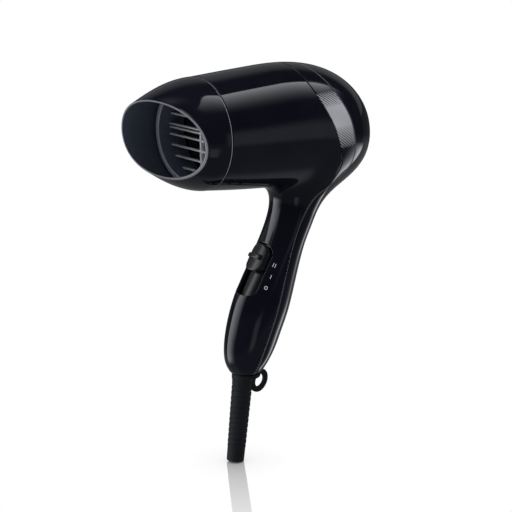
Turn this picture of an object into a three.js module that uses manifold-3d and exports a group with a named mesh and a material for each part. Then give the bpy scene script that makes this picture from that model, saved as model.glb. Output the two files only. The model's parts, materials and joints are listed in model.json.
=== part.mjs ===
// Travel hair dryer: a barrel with a rear dome, a raked grip, a slanted air nozzle,
// a three-position slide switch, and the fan, motor, heater and wiring inside.
// Millimetres, +Z up. Drawn from the centre of the air outlet: +X runs back along the
// barrel's axis, -Z down the grip. The last lines move the origin under the dryer.
import * as THREE from 'three';
import { mergeVertices } from 'three/addons/utils/BufferGeometryUtils.js';
import Module from 'manifold-3d';

const wasm = await Module();
wasm.setup();

// ---- Driving dimensions ----------------------------------------------------------------
const OUTLET_R = 34.3;         // barrel radius at the nozzle joint
const WALL = 2.2;              // shell thickness
const GAP = 0.3;               // clearance between touching pieces
const TOP_RISE = 4.1;          // how much the barrel's top line climbs
const BELLY = 6.6;             // how much its underside drops
const SIDE_SWELL = 0.8;        // how much its sides widen
const DOME_START = 45;
const DOME_END = 123.6;
const DOME_POWER = 3.0;        // superellipse of the rear dome
const DOME_ROUND = 0.42;
const DOME_DROP = -11.6;       // height of the dome's pole
const GRIP_END = -155;         // underside of the grip
const SWITCH_Z = -88.8;        // middle of the switch slot
const SWITCH_RAKE = 0.545;     // slope of the grip's front at the switch, radians
const KNOB = { length: 18, width: 15.8 };
const KNOB_TRAVEL = 14;        // II to 0
const KNOB_MIDDLE = 7.6;       // its place along the slot, at II
// The mouth is the plane x = -reach - slantY y - slantZ z; the lean shifts its centre.
const NOZZLE = { reach: 36.8, slantY: 0.667, slantZ: 0.153, leanY: 0.75, leanZ: 4.66, wall: 1.5 };
// The nozzle draws in, flares back and is pinched across as it runs forward.
const NOZZLE_FORM = { draw: 20, flare: 6.1, pinch: 3.4 };
// Grille: level bars from the top down, one closer stay, and an upright rib to the near side.
const BARS = { pitch: 6.4, top: 22.5, count: 8, stay: 1.2, rib: -6.5 };
const SPIGOT = { outer: 28.6, wall: 3, front: 12, back: 7 };
const DUCT = { outer: 27.5, inner: 26.1, start: 50, end: 88 };
const MOTOR = { radius: 13.5, start: 47, end: 73 };
const SHAFT_R = 1.15;
const FAN = { radius: 25.2, hub: 8.5, start: 76.5, end: 87, blades: 7 };
const HEATER = { start: 9, end: 42, board: 19.2, coil: 21.5, wire: 0.8, turns: 6, tube: 23.6 };
const INTAKE = { z: -11, radius: 17, pitch: 4.4, slot: 2.4 };
const BOOT = { neckX: 30.8, top: [29.1, -156.8], end: [21.9, -210.94], topR: 6.3, endR: 5.4 };
const LOOP = { x: 41, z: -161.7, outer: 6.8, inner: 4.1, thick: 3 };
const OUTLET_X = -39.4;        // the outlet's place in the finished frame
const OUTLET_Z = 211.6;

// Grip outline in side view: height, front edge, rear edge and half width.
const GRIP = [
  [0, 60, 84, 14],
  [-20, 53, 92, 15.5],
  [-40, 53, 92, 15.2],
  [-50, 54.8, 88.6, 14.3],
  [-60, 52.6, 85, 13.8],
  [-75, 45.2, 77.2, 13.7],
  [-90, 35.8, 71.6, 14],
  [-105, 27, 67, 14.6],
  [-120, 21.2, 61.6, 15],
  [-132, 18.2, 56, 14.3],
  [-142, 17.4, 50.6, 13],
  [-149, 19, 45.4, 11.4],
  [GRIP_END, 22.6, 41, 8.4],
];

// Joint between the front and rear housings in side view: height and place.
const SEAM = [[44, 61.3], [26, 64.5], [5, 74], [-16, 83], [-29, 86.2], [-40, 81],
  [-54, 70.6], [-84, 56.2], [-116, 45.3], [-140, 35.6], [-170, 26]];

const SEAM_TOP = 44;
const SEAM_STEP = 7;

// Rear edge of the trim band in side view.
const BAND = [[44, 67], [24, 80.3], [5, 89.6], [-16, 95.8], [-29, 94.6], [-43, 80]];

// ---- Small helpers ---------------------------------------------------------------------
const clamp01 = (value) => Math.min(Math.max(value, 0), 1);

// Climbs from 0 to 1 over a run, steepest at the start.
const rise = (value, run) => 1 - (1 - clamp01(value / run)) ** 2;

// A smooth curve through rows of [height, value, ...]: returns height -> value in a column.
function through(rows, column = 1) {
  const points = [...rows].sort((a, b) => a[0] - b[0]);
  const last = points.length - 1;
  const slopeAt = (i) => {
    const low = points[Math.max(i - 1, 0)];
    const high = points[Math.min(i + 1, last)];
    return (high[column] - low[column]) / (high[0] - low[0]);
  };
  return (height) => {
    let i = points.findIndex((p) => p[0] > height) - 1;
    if (i < -1) i = last - 1;
    i = Math.min(Math.max(i, 0), last - 1);
    const [a, b] = [points[i], points[i + 1]];
    const span = b[0] - a[0];
    const t = clamp01((height - a[0]) / span);
    const h00 = (1 + 2 * t) * (1 - t) ** 2;
    const h10 = t * (1 - t) ** 2;
    const h01 = t * t * (3 - 2 * t);
    const h11 = t * t * (t - 1);
    return h00 * a[column] + h10 * span * slopeAt(i) + h01 * b[column] + h11 * span * slopeAt(i + 1);
  };
}

const gripFront = through(GRIP, 1);
const gripRear = through(GRIP, 2);
const gripHalf = through(GRIP, 3);
const seamX = through(SEAM);
const bandX = through(BAND);

function solid(geometry) {
  const bare = geometry.clone();
  bare.deleteAttribute('normal');
  bare.deleteAttribute('uv');
  const merged = mergeVertices(bare, 1e-4);
  const index = merged.index.array;
  const tris = [];
  for (let i = 0; i < index.length; i += 3) {
    const [a, b, c] = [index[i], index[i + 1], index[i + 2]];
    if (a !== b && b !== c && c !== a) tris.push(a, b, c);
  }
  return new wasm.Manifold(new wasm.Mesh({
    numProp: 3,
    vertProperties: Float32Array.from(merged.attributes.position.array),
    triVerts: Uint32Array.from(tris),
  }));
}

function geometryOf(manifold) {
  const mesh = manifold.getMesh();
  const geometry = new THREE.BufferGeometry();
  geometry.setAttribute('position', new THREE.BufferAttribute(Float32Array.from(mesh.vertProperties), 3));
  geometry.setIndex(new THREE.BufferAttribute(Uint32Array.from(mesh.triVerts), 1));
  return geometry;
}

const joined = (...solids) => solids.reduce((sum, next) => sum.add(next));
const lessened = (from, ...solids) => solids.reduce((rest, next) => rest.subtract(next), from);

// A closed skin over stations t = 0..1: place(t, across, along) takes a point of the unit disc.
function loft(stations, sides, place) {
  const geometry = new THREE.CylinderGeometry(1, 1, 1, sides, stations, false);
  const p = geometry.attributes.position;
  for (let i = 0; i < p.count; i += 1) {
    p.setXYZ(i, ...place(0.5 - p.getY(i), p.getX(i), p.getZ(i)));
  }
  return solid(geometry);
}

// A box between two corners.
function block(low, high) {
  const size = high.map((value, k) => value - low[k]);
  const geometry = new THREE.BoxGeometry(...size);
  geometry.translate(...low.map((value, k) => value + size[k] / 2));
  return solid(geometry);
}

// A round bar along +X from x0 to x1, centred on (y, z).
function rod(x0, x1, radius, y = 0, z = 0, sides = 28) {
  const geometry = new THREE.CylinderGeometry(radius, radius, x1 - x0, sides);
  geometry.rotateZ(-Math.PI / 2);
  geometry.translate((x0 + x1) / 2, y, z);
  return solid(geometry);
}

// A turned piece about the X axis from [x, radius] points that start and end on the axis.
function turned(points, sides = 40) {
  const profile = points.map(([x, radius]) => new THREE.Vector2(radius, x));
  const geometry = new THREE.LatheGeometry(profile, sides);
  geometry.rotateZ(-Math.PI / 2);
  return solid(geometry);
}

// A ring about the X axis.
const ring = (x0, x1, outer, inner, sides = 28) => lessened(
  rod(x0, x1, outer, 0, 0, sides),
  rod(x0 - 1, x1 + 1, inner, 0, 0, sides),
);

// An outline in side view (x, z), extruded across the dryer.
function sideCut(points, halfWidth = 60) {
  const shape = new THREE.Shape(points.map(([x, z]) => new THREE.Vector2(x, z)));
  const geometry = new THREE.ExtrudeGeometry(shape, { depth: 2 * halfWidth, bevelEnabled: false });
  geometry.rotateX(Math.PI / 2);
  geometry.translate(0, halfWidth, 0);
  return solid(geometry);
}

// A tube along a smooth curve through points.
function tube(points, radius, steps, sides = 6) {
  const circle = new THREE.Shape();
  circle.absarc(0, 0, radius, 0, 2 * Math.PI, false);
  const path = new THREE.CatmullRomCurve3(points.map((p) => new THREE.Vector3(...p)));
  const geometry = new THREE.ExtrudeGeometry(circle, {
    steps, extrudePath: path, curveSegments: sides / 2, bevelEnabled: false,
  });
  return solid(geometry);
}

// ---- Outer form ------------------------------------------------------------------------
function barrelSection(x) {
  const top = OUTLET_R + TOP_RISE * rise(x, 160);
  const bottom = OUTLET_R + BELLY * rise(x, 100);
  const t = clamp01((x - DOME_START) / (DOME_END - DOME_START));
  return {
    centre: ((top - bottom) / 2) * (1 - t * t) + DOME_DROP * t * t,
    height: (top + bottom) / 2,
    width: OUTLET_R + SIDE_SWELL * rise(x, 80),
    fade: (1 - t ** DOME_POWER) ** DOME_ROUND,
  };
}

// The barrel with its dome, drawn in by an inset.
function barrel(inset, start) {
  const last = DOME_END - 0.35;
  return loft(10, 32, (t, across, along) => {
    const along01 = Math.sin((t * Math.PI) / 2);
    const x = start + (last - start) * along01;
    const s = barrelSection(x);
    const w = Math.max(s.width * s.fade - inset, 3);
    const h = Math.max(s.height * s.fade - inset, 3);
    const back = inset * clamp01((x - DOME_START) / (last - DOME_START));
    return [x - back, across * w, s.centre + along * h];
  });
}

// The grip, drawn in by an inset.
function grip(inset, end = GRIP_END + inset) {
  return loft(13, 18, (t, across, along) => {
    const z = -6 + (end + 6) * (1 - (1 - t) ** 1.25);
    const front = gripFront(z) + inset;
    const rear = gripRear(z) - inset;
    const half = gripHalf(z) - inset;
    return [(front + rear) / 2 + ((rear - front) / 2) * across, -half * along, z];
  });
}

const bodyForm = (inset, start = 0) => joined(barrel(inset, start), grip(inset));

// Points down the housing joint in side view, moved back by a slack.
function seamPoints(slack, end) {
  const points = [];
  for (let z = SEAM_TOP; z >= end; z -= SEAM_STEP) points.push([seamX(z) + slack, z]);
  return points;
}

// Side-view region in front of or behind the housing joint.
function besideSeam(side, slack) {
  const points = seamPoints(side * slack, -166);
  const far = side < 0 ? -60 : 170;
  return sideCut([[far, SEAM_TOP], ...points, [far, -166]]);
}

// Side-view region of the trim band.
function bandRegion(slack) {
  const front = seamPoints(GAP / 2 - slack, -40);
  const rear = front.map(([, z]) => [bandX(z) + slack, z]).reverse();
  return sideCut([...front, ...rear]);
}

// ---- Switch frame ----------------------------------------------------------------------
// Along the grip's front: +Z of this frame runs up the slot, -X points out of the grip.
function toSwitch(geometry) {
  geometry.rotateY(SWITCH_RAKE);
  geometry.translate(gripFront(SWITCH_Z), 0, SWITCH_Z);
  return solid(geometry);
}

function switchBlock(low, high) {
  const size = high.map((value, k) => value - low[k]);
  const geometry = new THREE.BoxGeometry(...size);
  geometry.translate(...low.map((value, k) => value + size[k] / 2));
  return toSwitch(geometry);
}

// A prism with an outline of round ends, square to the grip's front.
function switchPrism(length, width, middle = 0, corner = width / 2) {
  const [l, w] = [length / 2, width / 2];
  const shape = new THREE.Shape();
  shape.moveTo(-w + corner, -l);
  shape.lineTo(w - corner, -l);
  shape.absarc(w - corner, -l + corner, corner, -Math.PI / 2, 0, false);
  shape.lineTo(w, l - corner);
  shape.absarc(w - corner, l - corner, corner, 0, Math.PI / 2, false);
  shape.lineTo(-w + corner, l);
  shape.absarc(-w + corner, l - corner, corner, Math.PI / 2, Math.PI, false);
  shape.lineTo(-w, -l + corner);
  shape.absarc(-w + corner, -l + corner, corner, Math.PI, 1.5 * Math.PI, false);
  const geometry = new THREE.ExtrudeGeometry(shape, { depth: 24, bevelEnabled: false, curveSegments: 6 });
  geometry.translate(0, middle, -12);
  geometry.rotateX(Math.PI / 2);
  geometry.rotateZ(Math.PI / 2);
  return toSwitch(geometry);
}

const SLOT_LENGTH = KNOB.length + KNOB_TRAVEL + 2.4;

// ---- Housings --------------------------------------------------------------------------
const UPPER_SCREW = { z: -66, head: 70, tip: 55.5 };
const LOWER_SCREW = { z: -140, head: 41.5, tip: 27 };
const CLAMP = { z: -124, x: 33, half: 6.2 };

function screwPillar({ z, tip }) {
  return lessened(
    rod(gripFront(z) + 1, seamX(z) - GAP, 3.2, 0, z, 12),
    rod(tip - 1, seamX(z) + 2, 1.7, 0, z, 10),
  );
}

function screwSleeve({ z, head }) {
  return lessened(
    rod(seamX(z) + GAP, gripRear(z) + 2, 4.3, 0, z, 14),
    rod(head - GAP, gripRear(z) + 3, 3.1, 0, z, 14),
    rod(seamX(z) - 2, head, 1.75, 0, z, 10),
  );
}

function clampBoss(y) {
  const front = gripFront(CLAMP.z) + 1;
  return lessened(
    rod(front, CLAMP.x - GAP, 2.5, y, CLAMP.z, 10),
    rod(CLAMP.x - 9, CLAMP.x, 1.4, y, CLAMP.z, 8),
  );
}

function housings() {
  const outer = bodyForm(0);
  const inner = bodyForm(WALL, WALL);
  const bore = rod(-1, WALL + 1, SPIGOT.outer + GAP);
  const bootHole = rod(-4, 4, 5.2, 0, 0, 16);
  const cordHole = bootHole.rotate([0, 90, 0]).translate([BOOT.neckX, 0, GRIP_END]);
  const shell = lessened(outer, inner, bore, cordHole);
  const slot = switchPrism(SLOT_LENGTH, KNOB.width + 3, 0, 6.4);

  const frontPosts = joined(
    screwPillar(UPPER_SCREW),
    screwPillar(LOWER_SCREW),
    clampBoss(-CLAMP.half),
    clampBoss(CLAMP.half),
  ).intersect(outer);
  const front = joined(shell.intersect(besideSeam(-1, GAP / 2)), frontPosts);

  const sleeves = [UPPER_SCREW, LOWER_SCREW].map((screw) => screwSleeve(screw).intersect(outer));
  const sleeveBores = [UPPER_SCREW, LOWER_SCREW].map(({ z, head }) => (
    rod(head, gripRear(z) + 3, 3.1, 0, z, 14)
  ));
  const rearShell = shell.intersect(besideSeam(1, GAP / 2));
  const bandSeat = lessened(bodyForm(-1), bodyForm(1.3)).intersect(bandRegion(GAP));
  const rear = lessened(joined(lessened(rearShell, ...sleeveBores), ...sleeves), bandSeat, ...intakeSlots());
  const band = lessened(outer, bodyForm(1)).intersect(bandRegion(0));
  return { front: lessened(front, slot), rear, band };
}

function intakeSlots() {
  const slots = [];
  for (let k = -3; k <= 3; k += 1) {
    const z = INTAKE.z + k * INTAKE.pitch;
    const half = Math.sqrt(INTAKE.radius ** 2 - (k * INTAKE.pitch) ** 2) - INTAKE.slot / 2;
    const shape = new THREE.Shape();
    shape.absarc(half, 0, INTAKE.slot / 2, -Math.PI / 2, Math.PI / 2, false);
    shape.absarc(-half, 0, INTAKE.slot / 2, Math.PI / 2, 1.5 * Math.PI, false);
    const geometry = new THREE.ExtrudeGeometry(shape, { depth: 30, bevelEnabled: false, curveSegments: 2 });
    geometry.rotateX(Math.PI / 2);
    geometry.rotateZ(Math.PI / 2);
    geometry.translate(100, 0, z);
    slots.push(solid(geometry));
  }
  return slots;
}

// ---- Nozzle and outlet -----------------------------------------------------------------
function nozzleSkin(inset, start) {
  return loft(7, 32, (t, across, along) => {
    const d = start + (48 - start) * t;
    const u = d / 40;
    const tall = OUTLET_R - NOZZLE_FORM.draw * u * u + NOZZLE_FORM.flare * u ** 3 - inset;
    const wide = tall - NOZZLE_FORM.pinch * u * u;
    return [-d, -across * wide + NOZZLE.leanY * u, NOZZLE.leanZ * u ** 1.5 + along * tall];
  });
}

function mouthCut() {
  const geometry = new THREE.BoxGeometry(60, 160, 160);
  geometry.translate(-30, 0, 0);
  const facing = new THREE.Vector3(-1, -NOZZLE.slantY, -NOZZLE.slantZ).normalize();
  const turn = new THREE.Quaternion().setFromUnitVectors(new THREE.Vector3(-1, 0, 0), facing);
  geometry.applyQuaternion(turn);
  geometry.translate(-NOZZLE.reach, 0, 0);
  return solid(geometry);
}

function nozzle() {
  const hollow = nozzleSkin(NOZZLE.wall, 8);
  const socket = rod(-20, 1, SPIGOT.outer + GAP);
  return lessened(nozzleSkin(0, GAP), hollow, socket, mouthCut());
}

function outletGrille() {
  const sleeve = ring(-SPIGOT.front, SPIGOT.back, SPIGOT.outer, SPIGOT.outer - SPIGOT.wall);
  const flange = ring(WALL + GAP, WALL + 2, SPIGOT.outer + 2.2, SPIGOT.outer - 1);
  const reach = SPIGOT.outer - 1;
  const chord = (offset) => Math.sqrt(reach ** 2 - offset ** 2);
  const rib = chord(BARS.rib);
  const bars = [block([-4, BARS.rib - 0.6, -rib], [-1, BARS.rib + 0.6, rib])];
  const heights = Array.from({ length: BARS.count }, (_, k) => BARS.top - k * BARS.pitch);
  [...heights, BARS.stay].forEach((z) => {
    const half = chord(z);
    bars.push(block([-3.6, -half, z - 0.5], [-1.2, half, z + 0.5]));
  });
  return joined(sleeve, flange, ...bars);
}

// ---- Cord boot with hanging loop -------------------------------------------------------
function cordBoot() {
  const [topX, topZ] = BOOT.top;
  const [endX, endZ] = BOOT.end;
  const length = Math.hypot(endX - topX, endZ - topZ);
  const radiusAt = (s) => BOOT.topR + ((BOOT.endR - BOOT.topR) * s) / length;
  const ribs = 8;
  const ribbed = length - 9.5;
  const profile = [[0, 0], [0, radiusAt(0)]];
  for (let k = 0; k < ribs; k += 1) {
    const s = 5 + (k * (ribbed - 5)) / ribs;
    const pitch = (ribbed - 5) / ribs;
    profile.push([s, radiusAt(s)], [s + 0.35 * pitch, radiusAt(s) - 0.7]);
    profile.push([s + 0.65 * pitch, radiusAt(s) - 0.7], [s + pitch, radiusAt(s)]);
  }
  profile.push([length - 0.4, radiusAt(length)], [length, radiusAt(length) - 0.4], [length, 0]);
  const rake = Math.atan2(topX - endX, topZ - endZ);
  const down = (part) => part.rotate([0, 90, 0]).rotate([0, (rake * 180) / Math.PI, 0])
    .translate([topX, 0, topZ]);
  const sleeve = down(turned(profile, 14));
  const cordBore = down(rod(length - 12, length + 1, 3.2, 0, 0, 20));
  return lessened(joined(sleeve, bootFlange(), bootPlug(), hangingLoop()), cordBore);
}

// The plate that closes the grip, and the neck held inside it.
function bootFlange() {
  const shape = new THREE.Shape();
  shape.absellipse(31.7, 0, 9.1, 8.2, 0, 2 * Math.PI, false);
  const geometry = new THREE.ExtrudeGeometry(shape, {
    depth: 2.6, bevelEnabled: false, curveSegments: 14,
  });
  geometry.translate(0, 0, GRIP_END - GAP - 2.6);
  return solid(geometry);
}

function bootPlug() {
  const neck = rod(-6, 1.5, 4.8, 0, 0, 16).rotate([0, 90, 0]);
  const head = rod(-5.8, -2.9, 6.2, 0, 0, 16).rotate([0, 90, 0]);
  return joined(neck, head).translate([BOOT.neckX, 0, GRIP_END]);
}

function hangingLoop() {
  const shape = new THREE.Shape();
  shape.absarc(LOOP.x, LOOP.z, LOOP.outer, 0, 2 * Math.PI, false);
  const hole = new THREE.Path();
  hole.absarc(LOOP.x, LOOP.z, LOOP.inner, 0, 2 * Math.PI, true);
  shape.holes.push(hole);
  const geometry = new THREE.ExtrudeGeometry(shape, {
    depth: LOOP.thick, bevelEnabled: false, curveSegments: 12,
  });
  geometry.rotateX(Math.PI / 2);
  geometry.translate(0, LOOP.thick / 2, 0);
  const gripSide = block([LOOP.x - 10, -5, GRIP_END - GAP], [LOOP.x + 10, 5, GRIP_END + 5]);
  return lessened(solid(geometry), gripSide);
}

// ---- Switch ----------------------------------------------------------------------------
function switchTrack() {
  const plate = lessened(grip(WALL + GAP), grip(WALL + GAP + 1.3)).intersect(switchPrism(40, 20.6));
  return lessened(plate, switchPrism(SLOT_LENGTH - 6, 4.4));
}

function switchKnob() {
  const cap = lessened(grip(-0.8), grip(1.4)).intersect(switchPrism(KNOB.length, KNOB.width, KNOB_MIDDLE, 6));
  const ridge = grip(-2.6).intersect(switchBlock([-6, -4.6, KNOB_MIDDLE - 1.1], [4, 4.6, KNOB_MIDDLE + 1.1]));
  const stem = switchBlock([0.6, -1.6, KNOB_MIDDLE - 3], [7, 1.6, KNOB_MIDDLE + 3]);
  return joined(cap, lessened(ridge, grip(1)), stem);
}

function switchSlider() {
  const carrier = switchBlock([4.9, -4, KNOB_MIDDLE - 5.5], [8.4, 4, KNOB_MIDDLE + 5.5]);
  const socket = switchBlock([4, -1.6 - GAP, KNOB_MIDDLE - 3 - GAP], [7.3, 1.6 + GAP, KNOB_MIDDLE + 3 + GAP]);
  return lessened(carrier, socket);
}

function switchBase() {
  const tray = switchBlock([8.9, -5.4, -15], [17.5, 5.4, 15]);
  const well = switchBlock([8, -4, -13.5], [11, 4, 13.5]);
  return lessened(tray, well);
}

const terminal = (k) => switchBlock([17.8, -3.2, 9 * k - 1.2], [23, -2.4, 9 * k + 1.2]);

// ---- Fan and motor ---------------------------------------------------------------------
function motorMount() {
  const duct = ring(DUCT.start, DUCT.end, DUCT.outer, DUCT.inner);
  const flange = ring(DUCT.start, DUCT.start + 1.6, DUCT.outer + 4, DUCT.inner);
  const cup = ring(56, 71, MOTOR.radius + GAP + 1.2, MOTOR.radius + GAP);
  const vanes = [];
  const count = 5;
  for (let k = 0; k < count; k += 1) {
    const geometry = new THREE.BoxGeometry(12, 1.4, DUCT.inner - MOTOR.radius + 0.6, 4, 1, 1);
    bendVane(geometry, 0.04);
    geometry.translate(63, 0, (DUCT.inner + MOTOR.radius) / 2 + GAP + 0.5);
    geometry.rotateX((k * 2 * Math.PI) / count);
    vanes.push(solid(geometry));
  }
  return joined(duct, flange, cup, ...vanes);
}

// Bows a flat plate that stands on the X axis, so that it curls round the air stream.
function bendVane(geometry, bow) {
  const p = geometry.attributes.position;
  for (let i = 0; i < p.count; i += 1) p.setY(i, p.getY(i) + bow * p.getX(i) ** 2);
}

function motorCan() {
  const { radius, start, end } = MOTOR;
  return lessened(
    rod(start, end - 3, radius, 0, 0, 32),
    rod(start + 1.2, end, radius - 1.1, 0, 0, 32),
    rod(start - 1, start + 3, SHAFT_R + 0.4, 0, 0, 16),
  );
}

function motorEndCap() {
  const { radius, end } = MOTOR;
  const lid = rod(end - 2.7, end - 0.4, radius, 0, 0, 32);
  const hub = rod(end - 0.5, end + 1.2, 4, 0, 0, 20);
  return lessened(joined(lid, hub), rod(end - 4, end + 3, SHAFT_R + 0.4, 0, 0, 16));
}

function motorMagnet(side) {
  const { radius, start, end } = MOTOR;
  const hoop = ring(start + 5, end - 7, radius - 1.1 - GAP, radius - 3.2);
  const reach = radius + 2;
  return hoop.intersect(block([start, side > 0 ? 4 : -reach, -reach], [end, side > 0 ? reach : -4, reach]));
}

function motorArmature() {
  const { start, end } = MOTOR;
  const core = rod(start + 6, end - 8, 9.6, 0, 0, 24);
  const coils = rod(start + 4, end - 6, 7.2, 0, 0, 16);
  const commutator = rod(end - 6.5, end - 3.6, 3.2, 0, 0, 12);
  const slots = [];
  for (let k = 0; k < 6; k += 1) {
    const slot = block([start + 5.5, -0.9, 7.4], [end - 7.5, 0.9, 11]);
    slots.push(slot.rotate([60 * k, 0, 0]));
  }
  const bored = rod(start, end, SHAFT_R + GAP, 0, 0, 16);
  return lessened(joined(core, coils, commutator), ...slots, bored);
}

function fanImpeller() {
  const { radius, hub, start, end, blades } = FAN;
  const nose = turned([
    [start, 0], [start, hub], [end - 4, hub], [end - 1.4, hub - 2], [end, hub - 5], [end, 0],
  ], 32);
  const parts = [];
  for (let k = 0; k < blades; k += 1) {
    const span = radius - hub + 1.2;
    const geometry = new THREE.BoxGeometry(11.2, 1.1, span, 2, 1, 2);
    const p = geometry.attributes.position;
    for (let i = 0; i < p.count; i += 1) {
      const out = p.getZ(i) / span + 0.5;
      const pitch = 0.72 + 0.42 * out;
      const [x, y] = [p.getX(i), p.getY(i) + 0.02 * p.getX(i) ** 2];
      p.setX(i, x * Math.cos(pitch) - y * Math.sin(pitch));
      p.setY(i, x * Math.sin(pitch) + y * Math.cos(pitch));
    }
    geometry.translate((start + end) / 2, 0, hub - 1.2 + span / 2);
    geometry.rotateX((k * 2 * Math.PI) / blades);
    parts.push(solid(geometry));
  }
  const trimmed = joined(...parts).intersect(rod(start, end, radius, 0, 0, 48));
  return lessened(joined(nose, trimmed), rod(start - 1, end - 3, SHAFT_R + GAP, 0, 0, 16));
}

const motorShaft = () => rod(MOTOR.start - 2, FAN.end - 3.4, SHAFT_R, 0, 0, 14);

function rectifierBoard() {
  const x = MOTOR.start - 3.6;
  const disc = rod(x, x + 1.2, 11.5, 0, 0, 28);
  const diodes = [45, 135, 225, 315].map((angle) => (
    block([x + 1, -2.4, 6], [x + 2.8, 2.4, 8.4]).rotate([angle, 0, 0])
  ));
  return lessened(joined(disc, ...diodes), rod(x - 1, x + 2, 2, 0, 0, 14));
}

const intakeFilter = () => {
  const disc = rod(108.6, 109.6, 17.4, 0, INTAKE.z, 28);
  const rim = rod(107.4, 109.6, 18.4, 0, INTAKE.z, 28);
  const holes = [];
  for (let k = -2; k <= 2; k += 1) {
    const half = Math.sqrt(15.5 ** 2 - (6 * k) ** 2);
    holes.push(block([106, -half, INTAKE.z + 6 * k - 2.2], [111, half, INTAKE.z + 6 * k + 2.2]));
  }
  return lessened(joined(disc, rim), rod(106, 108.6, 16.4, 0, INTAKE.z, 28), ...holes);
};

// ---- Heater ----------------------------------------------------------------------------
const heaterTube = () => ring(HEATER.start - 1, HEATER.end + 4, HEATER.tube + 0.7, HEATER.tube);

// Two crossed mica boards, each slotted half way to pass the other.
function heaterBoard(upright) {
  const { start, end, board } = HEATER;
  const middle = (start + end) / 2;
  const sheet = upright
    ? block([start, -0.4, -board], [end, 0.4, board])
    : block([start, -board, -0.4], [end, board, 0.4]);
  const slot = upright
    ? block([start - 1, -2, -0.7], [middle, 2, 0.7])
    : block([middle, -0.7, -2], [end + 1, 0.7, 2]);
  return lessened(sheet, slot);
}

function heaterCoil() {
  const { start, end, coil, wire, turns } = HEATER;
  class Helix extends THREE.Curve {
    getPoint(t, target = new THREE.Vector3()) {
      const angle = t * turns * 2 * Math.PI + 0.4;
      const x = start + 3 + (end - start - 6) * t;
      return target.set(x, coil * Math.cos(angle), coil * Math.sin(angle));
    }
  }
  const circle = new THREE.Shape();
  circle.absarc(0, 0, wire, 0, 2 * Math.PI, false);
  return solid(new THREE.ExtrudeGeometry(circle, {
    steps: turns * 11, extrudePath: new Helix(), curveSegments: 3, bevelEnabled: false,
  }));
}

function thermalCutout() {
  const base = block([27, 5, 0.7], [37, 12, 2.4]);
  const arm = block([28, 7, 2.2], [36, 10, 2.8]);
  const post = block([28, 7.4, 2.6], [30, 9.6, 4.4]);
  return joined(base, arm, post);
}

const thermalFuse = () => joined(
  rod(26, 36, 1.8, -9, 2.6, 14),
  rod(22, 40, 0.5, -9, 2.6, 8),
);

// ---- Wiring and fasteners --------------------------------------------------------------
const lead = (side) => tube([
  [33, 7.2 * side, -117.5], [42, 7.2 * side, -106], [53, 7.2 * side, -90],
  [64, 7.2 * side, -66], [68, 7.2 * side, -48], [62, 7.2 * side, -33],
], 1.1, 14);

const capacitor = () => block([68, -4, -45], [81, 4, -34.5]);

function cordClamp() {
  const { x, z } = CLAMP;
  const bar = block([x, -9.4, z - 3.2], [x + 2.4, 9.4, z + 3.2]);
  const tooth = block([x - 2.4, -2.6, z - 1.2], [x + 0.5, 2.6, z + 1.2]);
  const holes = [-1, 1].map((side) => rod(x - 1, x + 4, 1.3, side * CLAMP.half, z, 12));
  return lessened(joined(bar, tooth), ...holes);
}

function screw(head, tip, y, z, headR, shankR) {
  const body = joined(rod(head, head + 1.8, headR, y, z, 18), rod(tip, head + 0.5, shankR, y, z, 12));
  const slots = [
    block([head + 1, y - 0.35, z - 1.2], [head + 3, y + 0.35, z + 1.2]),
    block([head + 1, y - 1.2, z - 0.35], [head + 3, y + 1.2, z + 0.35]),
  ];
  return lessened(body, ...slots);
}

// ---- Materials -------------------------------------------------------------------------
const material = (color, roughness, metalness = 0) => (
  new THREE.MeshStandardMaterial({ color, roughness, metalness })
);
const glossBody = () => material(0x23242c, 0.12);
const silverTrim = () => material(0xb9bcc2, 0.3, 0.8);
const satinBlack = () => material(0x2c2e33, 0.45);
const rubber = () => material(0x20262e, 0.75);
const heatPlastic = () => material(0x34373c, 0.5);
const steel = () => material(0xa9adb2, 0.35, 1);
const brass = () => material(0xc2a050, 0.35, 1);
const mica = () => material(0xcabb98, 0.6);
const whitePlastic = () => material(0xd8d6cd, 0.5);
const magnet = () => material(0x4a4a4e, 0.7);
const copper = () => material(0xb06a3c, 0.4, 0.9);
const redWire = () => material(0x9a2f2a, 0.5);
const blueWire = () => material(0x2c4c86, 0.5);

// ---- Assembly --------------------------------------------------------------------------
const dryer = new THREE.Group();

function add(name, piece, finish) {
  const mesh = new THREE.Mesh(geometryOf(piece), finish);
  mesh.name = name;
  dryer.add(mesh);
}

const housing = housings();
add('front_housing', housing.front, glossBody());
add('rear_housing', housing.rear, glossBody());
add('trim_band', housing.band, silverTrim());
add('nozzle', nozzle(), glossBody());
add('outlet_grille', outletGrille(), heatPlastic());
add('intake_filter', intakeFilter(), satinBlack());
add('cord_boot', cordBoot(), rubber());

add('switch_track', switchTrack(), satinBlack());
add('switch_knob', switchKnob(), satinBlack());
add('switch_slider', switchSlider(), whitePlastic());
add('switch_base', switchBase(), heatPlastic());
['off', 'low', 'high'].forEach((stage, k) => add(`switch_terminal_${stage}`, terminal(k - 1), brass()));

add('motor_mount', motorMount(), heatPlastic());
add('motor_can', motorCan(), steel());
add('motor_end_cap', motorEndCap(), whitePlastic());
add('motor_magnet_near', motorMagnet(-1), magnet());
add('motor_magnet_far', motorMagnet(1), magnet());
add('motor_armature', motorArmature(), copper());
add('motor_shaft', motorShaft(), steel());
add('fan_impeller', fanImpeller(), satinBlack());
add('rectifier_board', rectifierBoard(), mica());

add('heater_tube', heaterTube(), mica());
add('heater_board_upright', heaterBoard(true), mica());
add('heater_board_level', heaterBoard(false), mica());
add('heater_coil', heaterCoil(), steel());
add('thermal_cutout', thermalCutout(), whitePlastic());
add('thermal_fuse', thermalFuse(), steel());

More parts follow.
